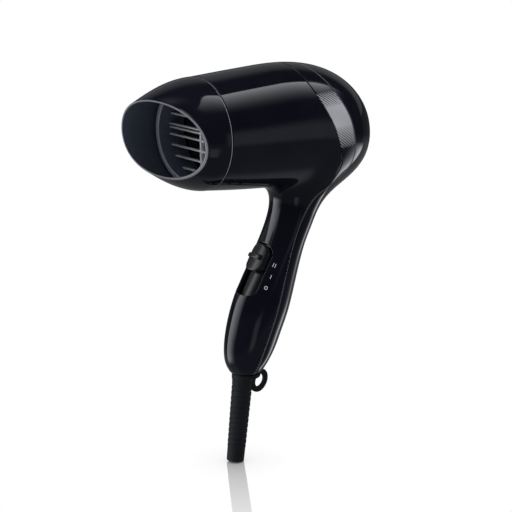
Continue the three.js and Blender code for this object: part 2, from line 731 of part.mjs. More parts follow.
add('lead_live', lead(-1), redWire());
add('lead_neutral', lead(1), blueWire());
add('capacitor', capacitor(), whitePlastic());
add('cord_clamp', cordClamp(), whitePlastic());
[-1, 1].forEach((side) => add(
  side < 0 ? 'clamp_screw_near' : 'clamp_screw_far',
  screw(CLAMP.x + 2.4 + GAP, CLAMP.x - 7, side * CLAMP.half, CLAMP.z, 2.1, 1),
  steel(),
));
add('housing_screw_upper', screw(UPPER_SCREW.head, UPPER_SCREW.tip, 0, UPPER_SCREW.z, 2.7, 1.3), steel());
add('housing_screw_lower', screw(LOWER_SCREW.head, LOWER_SCREW.tip, 0, LOWER_SCREW.z, 2.7, 1.3), steel());

dryer.position.set(OUTLET_X, 0, OUTLET_Z);

export default dryer;
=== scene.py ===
import json
import math
import bpy
import numpy as np
from mathutils import Matrix, Vector


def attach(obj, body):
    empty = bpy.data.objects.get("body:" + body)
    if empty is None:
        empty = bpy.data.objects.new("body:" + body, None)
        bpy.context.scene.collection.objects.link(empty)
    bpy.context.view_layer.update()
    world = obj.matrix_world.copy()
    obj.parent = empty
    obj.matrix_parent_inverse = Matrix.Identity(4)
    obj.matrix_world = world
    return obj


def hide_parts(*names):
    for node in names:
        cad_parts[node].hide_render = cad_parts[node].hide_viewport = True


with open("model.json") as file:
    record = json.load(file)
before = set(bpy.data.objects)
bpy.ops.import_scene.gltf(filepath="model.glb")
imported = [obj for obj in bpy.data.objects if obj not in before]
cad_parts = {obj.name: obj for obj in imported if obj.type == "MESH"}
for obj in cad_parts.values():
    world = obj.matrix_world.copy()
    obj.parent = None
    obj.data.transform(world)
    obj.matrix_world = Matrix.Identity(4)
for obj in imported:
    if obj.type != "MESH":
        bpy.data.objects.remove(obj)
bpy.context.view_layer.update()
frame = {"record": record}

# Lengths are millimetres in the outlet's own frame: the origin is the middle of the joint
# between barrel and nozzle, +X runs back, +Z up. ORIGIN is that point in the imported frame.
ORIGIN = np.array([-39.4, 0.0, 211.6])
OUTLET_R, TOP_RISE, BELLY, SIDE_SWELL = 34.3, 4.1, 6.6, 0.8
DOME_START, DOME_END, DOME_ROUND, DOME_DROP = 45.0, 123.6, 0.42, -11.6
GRIP_END = -155.0
GRIP = [(0, 60, 84, 14), (-20, 53, 92, 15.5), (-40, 53, 92, 15.2), (-50, 54.8, 88.6, 14.3),
        (-60, 52.6, 85, 13.8), (-75, 45.2, 77.2, 13.7), (-90, 35.8, 71.6, 14), (-105, 27, 67, 14.6),
        (-120, 21.2, 61.6, 15), (-132, 18.2, 56, 14.3), (-142, 17.3, 51.0, 13.2),
        (-149, 18.6, 46.0, 11.8), (-155, 21.8, 41.6, 8.8)]
SEAM = [(44, 61.3), (26, 64.5), (5, 74), (-16, 83), (-29, 86.2), (-40, 81), (-54, 70.6),
        (-84, 56.2), (-116, 45.3), (-140, 35.6), (-170, 26)]
BAND = [(44, 67), (24, 80.3), (5, 89.6), (-16, 95.8), (-29, 94.6), (-43, 80)]
GAP = 0.3
WALL = 2.1


# ---- Curves and fields -----------------------------------------------------------------
class Spline:
    """Natural cubic through (place, value) rows, straight beyond its ends."""

    def __init__(self, rows):
        t, v = (np.array(column, float) for column in zip(*sorted(rows)))
        n, h = len(t), np.diff(t)
        a, b = np.eye(n), np.zeros(n)
        for i in range(1, n - 1):
            a[i, i - 1:i + 2] = h[i - 1], 2 * (h[i - 1] + h[i]), h[i]
            b[i] = 6 * ((v[i + 1] - v[i]) / h[i] - (v[i] - v[i - 1]) / h[i - 1])
        self.t, self.v, self.m, self.h = t, v, np.linalg.solve(a, b), h
        self.low = (v[1] - v[0]) / h[0] - self.m[1] * h[0] / 6
        self.high = (v[-1] - v[-2]) / h[-1] + self.m[-2] * h[-1] / 6

    def __call__(self, x):
        x = np.asarray(x, float)
        c = np.clip(x, self.t[0], self.t[-1])
        i = np.clip(np.searchsorted(self.t, c) - 1, 0, len(self.h) - 1)
        h = self.h[i]
        a, b = (self.t[i + 1] - c) / h, (c - self.t[i]) / h
        curve = a * self.v[i] + b * self.v[i + 1]
        curve += ((a ** 3 - a) * self.m[i] + (b ** 3 - b) * self.m[i + 1]) * h * h / 6
        return curve + self.low * np.minimum(x - c, 0) + self.high * np.maximum(x - c, 0)


grip_front, grip_rear, grip_half = (Spline([(r[0], r[k]) for r in GRIP]) for k in (1, 2, 3))
seam_x, band_x = Spline(SEAM), Spline(BAND)


def smooth(low, high, value):
    t = np.clip((value - low) / (high - low), 0, 1)
    return t * t * t * (t * (6 * t - 15) + 10)


def rise(value, run):
    """Climbs from 0 to 1 over a run, steepest at the start."""
    return 1 - (1 - np.clip(value / run, -0.2, 1)) ** 2


def smin(a, b, k):
    h = np.maximum(k - np.abs(a - b), 0) / k
    return np.minimum(a, b) - h ** 3 * k / 6


def smax(a, b, k):
    return -smin(-a, -b, k)


def barrel_field(p):
    x, y, z = p[..., 0], p[..., 1], p[..., 2]
    t = np.clip((x - DOME_START) / (DOME_END - DOME_START), 0, 1.3)
    top = OUTLET_R + TOP_RISE * rise(x, 160)
    low = OUTLET_R + BELLY * rise(x, 100)
    centre = (top - low) / 2 * (1 - t * t) + DOME_DROP * t * t
    height, width = (top + low) / 2, OUTLET_R + SIDE_SWELL * rise(x, 80)
    rho = np.sqrt((y / width) ** 2 + ((z - centre) / height) ** 2)
    return (rho ** (1 / DOME_ROUND) + t ** 3 - 1) * DOME_ROUND * height


def grip_field(p):
    x, y, z = p[..., 0], p[..., 1], p[..., 2]
    front, rear, half = grip_front(z), grip_rear(z), grip_half(z)
    middle, deep = (front + rear) / 2, (rear - front) / 2
    f = (np.sqrt(((x - middle) / deep) ** 2 + (y / half) ** 2) - 1) * np.minimum(deep, half)
    f = smax(f, GRIP_END - z, 2.6)
    return smax(f, z + 14.0, 14.0)


def body_field(p):
    k = 12 + 27 * smooth(56, 90, p[..., 0])
    return smin(barrel_field(p), grip_field(p), k)


def gradient(field, p, step=0.05):
    g = np.empty_like(p)
    for k in range(3):
        d = np.zeros(3)
        d[k] = step
        g[..., k] = (field(p + d) - field(p - d)) / (2 * step)
    return g


def unit(v):
    return v / np.maximum(np.linalg.norm(v, axis=-1, keepdims=True), 1e-12)


def normals_of(field, p):
    return unit(gradient(field, p))


def settle(p, fields, rounds=4, reach=1.5):
    """Move points the least that puts them on every field's zero level."""
    p = p.copy()
    for _ in range(rounds):
        f = np.stack([g(p) for g in fields], -1)
        j = np.stack([gradient(g, p) for g in fields], -2)
        m = j @ np.swapaxes(j, -1, -2) + 1e-9 * np.eye(len(fields))
        move = -(np.swapaxes(j, -1, -2) @ np.linalg.solve(m, f[..., None]))[..., 0]
        size = np.linalg.norm(move, axis=-1, keepdims=True)
        p += move * np.minimum(1, reach / np.maximum(size, 1e-9))
    return p


def across(line, p):
    """Signed distance behind a side-view line x = line(z)."""
    z = p[..., 2]
    slope = (line(z + 0.1) - line(z - 0.1)) / 0.2
    return (p[..., 0] - line(z)) / np.sqrt(1 + slope * slope)


def seam_field(p):
    return across(seam_x, p)


def rear_edge(z):
    return np.maximum(seam_x(z), band_x(z))


def rear_field(p):
    return across(rear_edge, p)


# ---- Switch frame ----------------------------------------------------------------------
SWITCH_Z, RAKE = -88.8, 0.545      # height of the slot's middle, lean in radians
SLOT_UP = np.array([math.sin(RAKE), 0, math.cos(RAKE)])
SLOT_OUT = np.array([-math.cos(RAKE), 0, math.sin(RAKE)])
SLOT_AT = np.array([float(grip_front(SWITCH_Z)), 0, SWITCH_Z])


def round_box(u, v, half_u, half_v, corner):
    a, b = np.abs(u) - half_u + corner, np.abs(v) - half_v + corner
    outside = np.sqrt(np.maximum(a, 0) ** 2 + np.maximum(b, 0) ** 2)
    return outside + np.minimum(np.maximum(a, b), 0) - corner


def slot_shape(p, half_u, half_v, corner):
    q = p - SLOT_AT
    return round_box(q @ SLOT_UP, q[..., 1], half_u, half_v, corner)


def slot_field(p):
    return np.minimum(-slot_shape(p, 17.4, 9.4, 6.4), (p - SLOT_AT) @ SLOT_OUT + 9)


# ---- Triangle meshes on the body's surface -----------------------------------------------
def cast(origin, ray, field, far=2.6, samples=40):
    """Where each ray from inside a field first leaves it."""
    t = np.linspace(0, far, samples)
    out = np.stack([field(origin + ray * s) > 0 for s in t])
    first = np.maximum(out.argmax(axis=0), 1)
    low, high = t[first - 1], t[first]
    for _ in range(26):
        mid = (low + high) / 2
        gone = field(origin + ray * mid[:, None]) > 0
        high, low = np.where(gone, mid, high), np.where(gone, low, mid)
    return origin + ray * ((low + high) / 2)[:, None]


PIVOT = np.array([45.0, 0.0, -50.0])        # the sweep turns here from barrel to grip
LOWEST_ROW, END_POLE_X, SKIN_PITCH = -144.5, 31.5, 1.5


def body_surface():
    """Rows swept along the barrel, round the dome and down the grip, closed under its end."""
    pivot, pitch = PIVOT, SKIN_PITCH
    starts, ways = [], []
    for x in np.arange(-3, pivot[0], pitch):
        starts.append((x, 0, pivot[2]))
        ways.append((0, 0, 1))
    for a in np.linspace(0, math.pi / 2, int(112 / pitch)):
        starts.append(tuple(pivot))
        ways.append((math.sin(a), 0, math.cos(a)))
    for z in np.arange(pivot[2] - pitch, LOWEST_ROW, -pitch):
        starts.append((float(grip_front(z)) - 8, 0, z))
        ways.append((1, 0, 0))
    starts, ways = np.array(starts, float), np.array(ways, float)
    s = np.linspace(0, 140, 561)
    inside = np.stack([body_field(starts + ways * k) < 0 for k in s])
    enter = s[inside.argmax(axis=0)]
    leave = []
    for i in range(len(starts)):
        column = inside[:, i]
        k = column.argmax()
        leave.append(s[k + (~column[k:]).argmax() - 1])
    leave = np.array(leave)
    middle = starts + ways * ((enter + leave) / 2)[:, None]
    half = (leave - enter) / 2
    side = np.tile([0.0, 1.0, 0.0], (len(middle), 1)) * 10
    wide = cast(middle, side, body_field, 6)[:, 1]
    sides = int(228 / pitch)
    angle = 2 * math.pi * np.arange(sides) / sides
    origins, rays = [], []
    for m, w, h, b in zip(middle, ways, half, wide):
        origins.append(np.tile(m, (sides, 1)))
        rays.append(np.outer(np.cos(angle) * h, w) + np.outer(np.sin(angle) * b, (0, 1, 0)))
    m, w, h, b = middle[-1], ways[-1], half[-1], wide[-1]
    down = np.array([END_POLE_X - m[0], 0, GRIP_END - m[2]])
    for a in np.linspace(0, math.pi / 2, 15)[1:-1]:
        origins.append(np.tile(m, (sides, 1)))
        flat = np.outer(np.cos(angle) * h, w) + np.outer(np.sin(angle) * b, (0, 1, 0))
        rays.append(flat * math.cos(a) + down * math.sin(a))
    points = cast(np.concatenate(origins), np.concatenate(rays), body_field)
    pole = cast(m[None], down[None], body_field)
    rows = len(points) // sides
    grid = np.arange(rows * sides).reshape(rows, sides)
    a, b = grid[:-1], np.roll(grid[:-1], -1, axis=1)
    c, d = np.roll(grid[1:], -1, axis=1), grid[1:]
    even = ((np.arange(rows - 1)[:, None] + np.arange(sides)[None]) % 2 == 0)[..., None]
    one = np.where(even, np.stack([a, b, c], -1), np.stack([a, b, d], -1)).reshape(-1, 3)
    two = np.where(even, np.stack([a, c, d], -1), np.stack([b, c, d], -1)).reshape(-1, 3)
    last = grid[-1]
    fan = np.stack([last, np.roll(last, -1), np.full(sides, len(points))], -1)
    v = np.concatenate([points, pole])
    t = np.concatenate([one, two, fan])
    return v, outward(v, t, body_field)


def outward(v, t, field):
    face = np.cross(v[t[:, 1]] - v[t[:, 0]], v[t[:, 2]] - v[t[:, 0]])
    facing = (face * gradient(field, v[t].mean(axis=1))).sum(axis=1)
    return np.where((facing < 0)[:, None], t[:, ::-1], t)


def edge_table(t):
    e = np.sort(np.concatenate([t[:, [0, 1]], t[:, [1, 2]], t[:, [2, 0]]]), axis=1)
    unique, place = np.unique(e, axis=0, return_inverse=True)
    return unique, place.reshape(3, -1).T


def refine(v, t, near, field, rounds=1):
    """Split the triangles that touch a region into four, and their neighbours to match."""
    for _ in range(rounds):
        mark = near(v)[t].any(axis=1)
        edges, of_face = edge_table(t)
        cut = np.zeros(len(edges), bool)
        cut[of_face[mark].ravel()] = True
        number = np.full(len(edges), -1)
        number[cut] = len(v) + np.arange(cut.sum())
        v = np.concatenate([v, settle(v[edges[cut]].mean(axis=1), [field], 2)])
        m = number[of_face]
        count = (m >= 0).sum(axis=1)
        parts = [t[count == 0]]
        a, n = t[count == 3], m[count == 3]
        parts += [np.stack(q, -1) for q in (
            (a[:, 0], n[:, 0], n[:, 2]), (n[:, 0], a[:, 1], n[:, 1]),
            (n[:, 2], n[:, 1], a[:, 2]), (n[:, 0], n[:, 1], n[:, 2]))]
        for k in range(3):
            turn = [(k + i) % 3 for i in range(3)]
            a, n = t[:, turn], m[:, turn]
            one = (count == 1) & (n[:, 0] >= 0)
            parts.append(np.stack([a[one, 0], n[one, 0], a[one, 2]], -1))
            parts.append(np.stack([n[one, 0], a[one, 1], a[one, 2]], -1))
            two = (count == 2) & (n[:, 2] < 0)
            parts.append(np.stack([n[two, 0], a[two, 1], n[two, 1]], -1))
            parts.append(np.stack([a[two, 0], n[two, 0], n[two, 1]], -1))
            parts.append(np.stack([a[two, 0], n[two, 1], a[two, 2]], -1))
        t = np.concatenate(parts)
    return v, t


def clip(v, t, cut, field, snap=0.22):
    """The part of a surface where cut < 0, trimmed along cut = 0."""
    value = cut(v)
    near = np.abs(value) < snap
    v = v.copy()
    v[near] = settle(v[near], [field, cut], 3, snap * 1.5)
    value[near] = 0
    sign = np.sign(value).astype(int)
    s = sign[t]
    whole = (s <= 0).all(axis=1) & (s < 0).any(axis=1)
    mixed = (s < 0).any(axis=1) & (s > 0).any(axis=1)
    edges, of_face = edge_table(t[mixed])
    ea, eb = edges[:, 0], edges[:, 1]
    crossed = sign[ea] * sign[eb] < 0
    k = (value[ea] / np.where(crossed, value[ea] - value[eb], 1))[:, None]
    added = settle((v[ea] * (1 - k) + v[eb] * k)[crossed], [field, cut], 3, 0.6)
    number = np.full(len(edges), -1)
    number[crossed] = len(v) + np.arange(crossed.sum())
    parts = [t[whole]]
    v = np.concatenate([v, added])
    for turn in ((0, 1, 2), (1, 2, 0), (2, 0, 1)):
        a, n, q = t[mixed][:, turn], number[of_face][:, turn], s[mixed][:, turn]
        # n: edges (0,1), (1,2), (2,0)
        one = (q[:, 0] < 0) & (q[:, 1] >= 0) & (q[:, 2] >= 0)
        e1 = np.where(q[:, 1] == 0, a[:, 1], n[:, 0])
        e2 = np.where(q[:, 2] == 0, a[:, 2], n[:, 2])
        parts.append(np.stack([a[one, 0], e1[one], e2[one]], -1))
        two = (q[:, 0] > 0) & (q[:, 1] < 0) & (q[:, 2] < 0)
        parts.append(np.stack([n[two, 0], a[two, 1], a[two, 2]], -1))
        parts.append(np.stack([n[two, 0], a[two, 2], n[two, 2]], -1))
    t = np.concatenate(parts)
    good = (t[:, 0] != t[:, 1]) & (t[:, 1] != t[:, 2]) & (t[:, 2] != t[:, 0])
    return tidy(v, t[good])


def tidy(v, t):
    used, place = np.unique(t, return_inverse=True)
    return v[used], place.reshape(t.shape)


LIP_STEPS = 3   # strips that round a shell's rim, before the two that make its wall


def shelled(v, t, field, lip, wall=WALL, lift=0.0):
    """Lift an open surface, and give it a rounded rim, a wall and an inner skin."""
    n = normals_of(field, v)
    v = v + lift * n
    e = np.concatenate([t[:, [0, 1]], t[:, [1, 2]], t[:, [2, 0]]])
    key = e.min(axis=1) * len(v) + e.max(axis=1)
    _, place, count = np.unique(key, return_inverse=True, return_counts=True)
    rim = e[count[place] == 1]
    out = np.zeros_like(v)
    flow = unit(np.cross(v[rim[:, 1]] - v[rim[:, 0]], n[rim[:, 0]] + n[rim[:, 1]]))
    for k in range(2):
        np.add.at(out, rim[:, k], flow)
    edge = np.unique(rim)
    out = unit(out[edge])
    slot = np.full(len(v), -1)
    slot[edge] = np.arange(len(edge))
    m = len(edge)
    points, normals, base = [v], [n], len(v)
    rings = [edge]
    for k in range(1, LIP_STEPS + 1):
        a = k / LIP_STEPS * math.pi / 2
        points.append(v[edge] + lip * (math.sin(a) * out - (1 - math.cos(a)) * n[edge]))
        normals.append(math.sin(a) * out + math.cos(a) * n[edge])
        rings.append(base + np.arange(m))
        base += m
    points.append(v[edge] + lip * out - wall * n[edge])
    normals.append(out)
    rings.append(base + np.arange(m))
    base += m
    points.append(v - wall * n)
    normals.append(-n)
    rings.append(base + edge)
    faces = [t]
    for a, b in zip(rings[:-1], rings[1:]):
        p, q = slot[rim[:, 0]], slot[rim[:, 1]]
        faces.append(np.stack([a[q], a[p], b[p]], -1))
        faces.append(np.stack([a[q], b[p], b[q]], -1))
    faces.append(t[:, ::-1] + base)
    return np.concatenate(points), np.concatenate(faces), np.concatenate(normals)


def nets(field, low, high, pitch, relax=2):
    """Mesh a field's zero level over a box, one vertex to each cell it crosses."""
    axes = [np.arange(a, b + pitch, pitch) for a, b in zip(low, high)]
    value = field(np.stack(np.meshgrid(*axes, indexing="ij"), -1))
    inside = value < 0
    size = np.array(value.shape) - 1
    near, weight = np.zeros((*size, 3)), np.zeros(tuple(size))

    def corner(grid, i, j, k):
        return grid[i:i + size[0], j:j + size[1], k:k + size[2]]

    total = sum(corner(inside, i, j, k).astype(int) for i in (0, 1) for j in (0, 1) for k in (0, 1))
    for axis in range(3):
        for a in (0, 1):
            for b in (0, 1):
                base = [a, b]
                base.insert(axis, 0)
                other = list(base)
                other[axis] = 1
                p, q = corner(value, *base), corner(value, *other)
                hit = (p < 0) != (q < 0)
                along = np.where(hit, p / np.where(hit, p - q, 1), 0)
                place = np.zeros((*size, 3)) + np.array(base)
                place[..., axis] += along
                near += np.where(hit[..., None], place, 0)
                weight += hit
    cell = (total > 0) & (total < 8)
    number = np.full(tuple(size), -1)
    number[cell] = np.arange(cell.sum())
    start = np.argwhere(cell)
    centre = near[cell] / weight[cell][:, None]
    v = np.array(low, float) + (start + centre) * pitch
    quads = []
    for axis in range(3):
        a = np.moveaxis(inside, axis, 0)
        num = np.moveaxis(number, axis, 0)
        flip = a[1:] & ~a[:-1], a[:-1] & ~a[1:]
        for way, change in enumerate(flip):
            idx = np.argwhere(change)
            idx = idx[(idx[:, 1] > 0) & (idx[:, 2] > 0) & (idx[:, 1] < a.shape[1] - 1)
                      & (idx[:, 2] < a.shape[2] - 1)]
            i, j, k = idx.T
            q = np.stack([num[i, j - 1, k - 1], num[i, j, k - 1],
                          num[i, j, k], num[i, j - 1, k]], -1)
            quads.append(q if way else q[:, ::-1])
    q = np.concatenate(quads)
    t = np.concatenate([q[:, [0, 1, 2]], q[:, [0, 2, 3]]])
    v = settle(v, [field], 2, pitch * 0.6)
    for _ in range(relax):
        e = edge_table(t)[0]
        total = np.zeros_like(v)
        count = np.zeros(len(v))
        for a, b in ((0, 1), (1, 0)):
            np.add.at(total, e[:, a], v[e[:, b]])
            np.add.at(count, e[:, a], 1)
        v = settle(v * 0.5 + 0.5 * total / count[:, None], [field], 2, pitch * 0.6)
    return v, outward(v, t, field), normals_of(field, v)


def lathe(profile, axis_at, axis, sides=64):
    """A turned piece from a closed (along, radius) profile; a zero radius makes a pole."""
    axis = unit(np.array(axis, float))
    side = unit(np.cross(axis, (0.0, 1.0, 0.0) if abs(axis[1]) < 0.9 else (1.0, 0.0, 0.0)))
    third = np.cross(axis, side)
    angle = 2 * math.pi * np.arange(sides) / sides
    rim = np.outer(np.cos(angle), side) + np.outer(np.sin(angle), third)
    rows = [np.array(axis_at) + s * axis + r * rim for s, r in profile]
    return ribbon(np.array(rows))


def ribbon(rows):
    """Quads over closed rings; the last ring joins the first."""
    n, m = rows.shape[:2]
    grid = np.arange(n * m).reshape(n, m)
    down = np.roll(grid, -1, axis=0)
    quads = np.stack([grid, np.roll(grid, -1, 1), np.roll(down, -1, 1), down], -1).reshape(-1, 4)
    return rows.reshape(-1, 3), quads


def arc(centre, radius, start, end, steps):
    turns = [math.radians(a) for a in np.linspace(start, end, steps)]
    return [(centre[0] + radius * math.cos(a), centre[1] + radius * math.sin(a)) for a in turns]


# ---- Putting pieces in the scene ---------------------------------------------------------
def add(name, v, faces, normals=None, crease=38):
    v = (np.asarray(v, float) + ORIGIN) / 1000
    faces = np.asarray(faces)
    k = faces.shape[1]
    mesh = bpy.data.meshes.new(name)
    mesh.vertices.add(len(v))
    mesh.vertices.foreach_set("co", v.ravel())
    mesh.loops.add(faces.size)
    mesh.loops.foreach_set("vertex_index", faces.ravel().astype(np.int32))
    mesh.polygons.add(len(faces))
    mesh.polygons.foreach_set("loop_start", np.arange(0, faces.size, k, dtype=np.int32))
    mesh.polygons.foreach_set("use_smooth", np.ones(len(faces), bool))
    mesh.update(calc_edges=True)
    if normals is not None:
        mesh.normals_split_custom_set_from_vertices(normals.tolist())
    elif crease:
        mesh.set_sharp_from_angle(angle=math.radians(crease))
    obj = bpy.data.objects.new(name, mesh)
    bpy.context.scene.collection.objects.link(obj)
    return obj


def piece(name, v, faces, normals, body, slot, material, *nodes, crease=38):
    obj = add(name, v, faces, normals, crease)
    obj.data.materials.append(material)
    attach(obj, body)
    if nodes:
        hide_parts(*nodes)
    return obj


# ---- Materials ---------------------------------------------------------------------------
class Value:
    """A socket that ordinary arithmetic works on."""

    def __init__(self, graph, socket):
        self.graph, self.socket = graph, socket

    def __add__(self, other): return self.graph.math("ADD", self, other)
    def __radd__(self, other): return self.graph.math("ADD", self, other)
    def __sub__(self, other): return self.graph.math("SUBTRACT", self, other)
    def __rsub__(self, other): return self.graph.math("SUBTRACT", other, self)
    def __mul__(self, other): return self.graph.math("MULTIPLY", self, other)


class Graph:
    def __init__(self, tree):
        self.tree = tree
        tree.nodes.clear()

    def node(self, kind, inputs=None, **settings):
        node = self.tree.nodes.new(kind)
        for key, value in settings.items():
            setattr(node, key, value)
        for key, value in (inputs or {}).items():
            self.feed(node.inputs[key], value)
        return node

    def feed(self, socket, value):
        if isinstance(value, Value):
            value = value.socket
        if isinstance(value, bpy.types.NodeSocket):
            self.tree.links.new(value, socket)
        else:
            socket.default_value = value

    def math(self, op, a, b=0.0):
        node = self.node("ShaderNodeMath", operation=op)
        self.feed(node.inputs[0], a)
        self.feed(node.inputs[1], b)
        return Value(self, node.outputs[0])

    def ramp(self, value, low, high, start=0.0, end=1.0, kind="SMOOTHERSTEP"):
        node = self.node("ShaderNodeMapRange", interpolation_type=kind, clamp=True)
        for k, x in enumerate((value, low, high, start, end)):
            self.feed(node.inputs[k], x)
        return Value(self, node.outputs[0])

    def fall(self, value, low, high):
        return self.ramp(value, low, high, 1.0, 0.0)

    def mix(self, fac, a, b):
        node = self.node("ShaderNodeMix", data_type="RGBA")
        for k, x in ((0, fac), (6, a), (7, b)):
            self.feed(node.inputs[k], x)
        return Value(self, node.outputs[2])

    def noise(self, where, scale, detail=4.0, rough=0.5):
        node = self.node("ShaderNodeTexNoise", {"Vector": where, "Scale": scale, "Detail": detail,
                                                "Roughness": rough})
        return Value(self, node.outputs["Fac"])

    def parts(self, vector):
        node = self.node("ShaderNodeSeparateXYZ", {0: vector})
        return [Value(self, s) for s in node.outputs]

    def bump(self, height, distance, strength):
        node = self.node("ShaderNodeBump", {"Height": height, "Distance": distance,
                                            "Strength": strength})
        return Value(self, node.outputs[0])


def material(name, color, rough, build, metal=0.0, **fixed):
    mat = bpy.data.materials.new(name)
    mat.use_nodes = True
    g = Graph(mat.node_tree)
    shader = g.node("ShaderNodeBsdfPrincipled")
    out = g.node("ShaderNodeOutputMaterial")
    g.feed(out.inputs[0], shader.outputs[0])
    shader.inputs["Base Color"].default_value = (*color, 1)
    shader.inputs["Roughness"].default_value = rough
    shader.inputs["Metallic"].default_value = metal
    for key, value in fixed.items():
        shader.inputs[key.replace("_", " ")].default_value = value
    where = g.node("ShaderNodeTexCoord").outputs["Object"]
    for key, value in build(g, where).items():
        g.feed(shader.inputs[key], value)
    mat.diffuse_color = (*color, 1)
    return mat


def tint(color, k):
    return (*[c * k for c in color], 1)


def speckled(color, rough, spread=0.25, scale=900.0, height=0.00002, swing=0.06, large=60.0):
    """Moulded or sheet stock: broad tone drift, fine grain, uneven shine."""
    def build(g, where):
        drift = g.noise(where, large, 3.0)
        grain = g.noise(where, scale, 5.0, 0.6)
        tone = g.mix(g.ramp(drift * 0.6 + grain * 0.4, 0.3, 0.7, kind="LINEAR"),
                     tint(color, 1 - spread), tint(color, 1 + spread))
        return {"Base Color": tone,
                "Roughness": g.ramp(drift, 0.25, 0.75, rough - swing, rough + swing, "LINEAR"),
                "Normal": g.bump(grain, height, 0.8)}
    return build


def gloss(color, rough):
    """Polished moulding: faint flow marks and a few hairline scuffs in the shine."""
    def build(g, where):
        haze = g.noise(where, 26.0, 4.0)
        smear = g.noise(where, 240.0, 3.0)
        hair = g.node("ShaderNodeTexVoronoi", {"Vector": where, "Scale": 70.0},
                      feature="DISTANCE_TO_EDGE")
        scuff = g.fall(Value(g, hair.outputs[0]), 0.0, 0.012)
        shine = g.ramp(haze, 0.3, 0.7, rough * 0.75, rough * 1.35, "LINEAR")
        shine = shine + g.ramp(smear, 0.55, 0.75, 0.0, 0.02)
        shine = shine + scuff * g.ramp(haze, 0.5, 0.65, 0.0, 0.03)
        tone = g.mix(g.ramp(haze, 0.3, 0.7), tint(color, 0.8), tint(color, 1.2))
        return {"Base Color": tone, "Roughness": shine,
                "Normal": g.bump(g.noise(where, 160.0, 2.0), 0.000006, 0.5)}
    return build


BLACK = (0.0052, 0.0056, 0.0105)
NOZZLE_BLACK = (0.0056, 0.006, 0.011)
SILVER = (0.88, 0.88, 0.90)
RUBBER = (0.0065, 0.0092, 0.0125)
SATIN = (0.008, 0.0082, 0.0098)
HATCH_PITCH, WIRE_PITCH = 0.0013, 0.0009   # metres


def hatched(g, where):
    """Plain silver in the middle; slanted black lines thicken to solid black at both ends."""
    x, _, z = g.parts(where)
    wave = g.math("SINE", (z * 0.82 + x * 0.57) * (2 * math.pi / HATCH_PITCH))
    upper = g.ramp(z, 0.2216, 0.2326, kind="LINEAR")
    lower = g.ramp(z, 0.2126, 0.1946, kind="LINEAR")
    cover = g.math("MAXIMUM", upper, lower)
    black = g.ramp(wave + cover * 2.6, 1.1, 1.5)
    grain = g.noise(where, 1400.0, 3.0)
    silver = g.mix(g.noise(where, 90.0), tint(SILVER, 0.92), tint(SILVER, 1.08))
    return {"Base Color": g.mix(black, silver, (*BLACK, 1)), "Metallic": 0.5 - black * 0.5,
            "Roughness": g.ramp(grain, 0.3, 0.7, 0.34, 0.44, "LINEAR") - black * 0.3,
            "Normal": g.bump(black + grain * 0.08, 0.00002, 0.4)}


def wound(g, where):
    x = g.parts(where)[0]
    band = g.math("SINE", x * (2 * math.pi / WIRE_PITCH))
    tone = g.mix(g.ramp(band, -0.6, 0.8), (0.10, 0.03, 0.012, 1), (0.52, 0.20, 0.07, 1))
    return {"Base Color": tone, "Roughness": g.ramp(g.noise(where, 700.0), 0.3, 0.7, 0.25, 0.4),
            "Normal": g.bump(band, 0.00008, 0.8)}


def brushed(color, rough):
    def build(g, where):
        x, y, z = g.parts(where)
        comb = g.node("ShaderNodeCombineXYZ", {0: x * 40.0, 1: y * 1500.0, 2: z * 1500.0})
        streak = g.noise(comb.outputs[0], 1.0, 4.0)
        tone = g.mix(streak, tint(color, 0.75), tint(color, 1.1))
        return {"Base Color": tone,
                "Roughness": g.ramp(streak, 0.3, 0.7, rough - 0.08, rough + 0.1),
                "Normal": g.bump(streak, 0.00001, 0.5)}
    return build


def stock(name, color, rough, *grain, **fixed):
    return material(name, color, rough, speckled(color, rough, *grain), **fixed)


def bare_metal(name, color, rough):
    return material(name, color, rough, brushed(color, rough), metal=1.0)


def moulded(name, color, rough):
    return stock(name, color, rough, 0.12, 1200.0, 0.000012, 0.05, 30.0)


MAT = {
    "gloss_shell": material("gloss_shell", BLACK, 0.045, gloss(BLACK, 0.045)),
    "gloss_nozzle": material("gloss_nozzle", NOZZLE_BLACK, 0.055, gloss(NOZZLE_BLACK, 0.055)),
    "silver_trim": material("silver_trim", SILVER, 0.38, hatched, metal=0.5),
    "satin_black": stock("satin_black", SATIN, 0.28, 0.15, 1500.0, 0.000008, 0.04),
    "heat_plastic": stock("heat_plastic", (0.018, 0.019, 0.022), 0.42, 0.3, 1100.0),
    "soft_rubber": stock("soft_rubber", RUBBER, 0.72, 0.22, 1300.0, 0.00002,
                         Specular_IOR_Level=0.3),
    "white_plastic": stock("white_plastic", (0.62, 0.61, 0.57), 0.4, 0.05),
    "brass_contact": bare_metal("brass_contact", (0.66, 0.46, 0.18), 0.3),
    "steel": bare_metal("steel", (0.42, 0.43, 0.44), 0.32),
    "ferrite": stock("ferrite", (0.045, 0.045, 0.048), 0.6, 0.35),
    "winding": material("winding", (0.42, 0.16, 0.06), 0.35, wound, metal=0.8),
    "mica": stock("mica", (0.05, 0.043, 0.036), 0.5, 0.3, 500.0),
    "red_insulation": stock("red_insulation", (0.32, 0.02, 0.015), 0.42, 0.12),
    "blue_insulation": stock("blue_insulation", (0.02, 0.07, 0.26), 0.42, 0.12),
}

# Painted light: the nozzle's and the sleeve's inner walls are black plastic like the rest, coloured
# light blue-grey to stand in for the light that falls inside.
INSIDE_PAINTED_LIGHT = moulded("nozzle_inside_painted_light", (0.075, 0.09, 0.12), 0.45)
# Painted highlight: the rear shell's rounded lip is coloured lighter grey for the light line along
# its seam.
EDGE_HIGHLIGHT = moulded("shell_edge_painted_highlight", (0.10, 0.10, 0.112), 0.2)
# Painted highlight: the nozzle's mouth rim is coloured light grey for the thin light line round it.
RIM_HIGHLIGHT = moulded("nozzle_rim_painted_highlight", (0.20, 0.205, 0.22), 0.3)
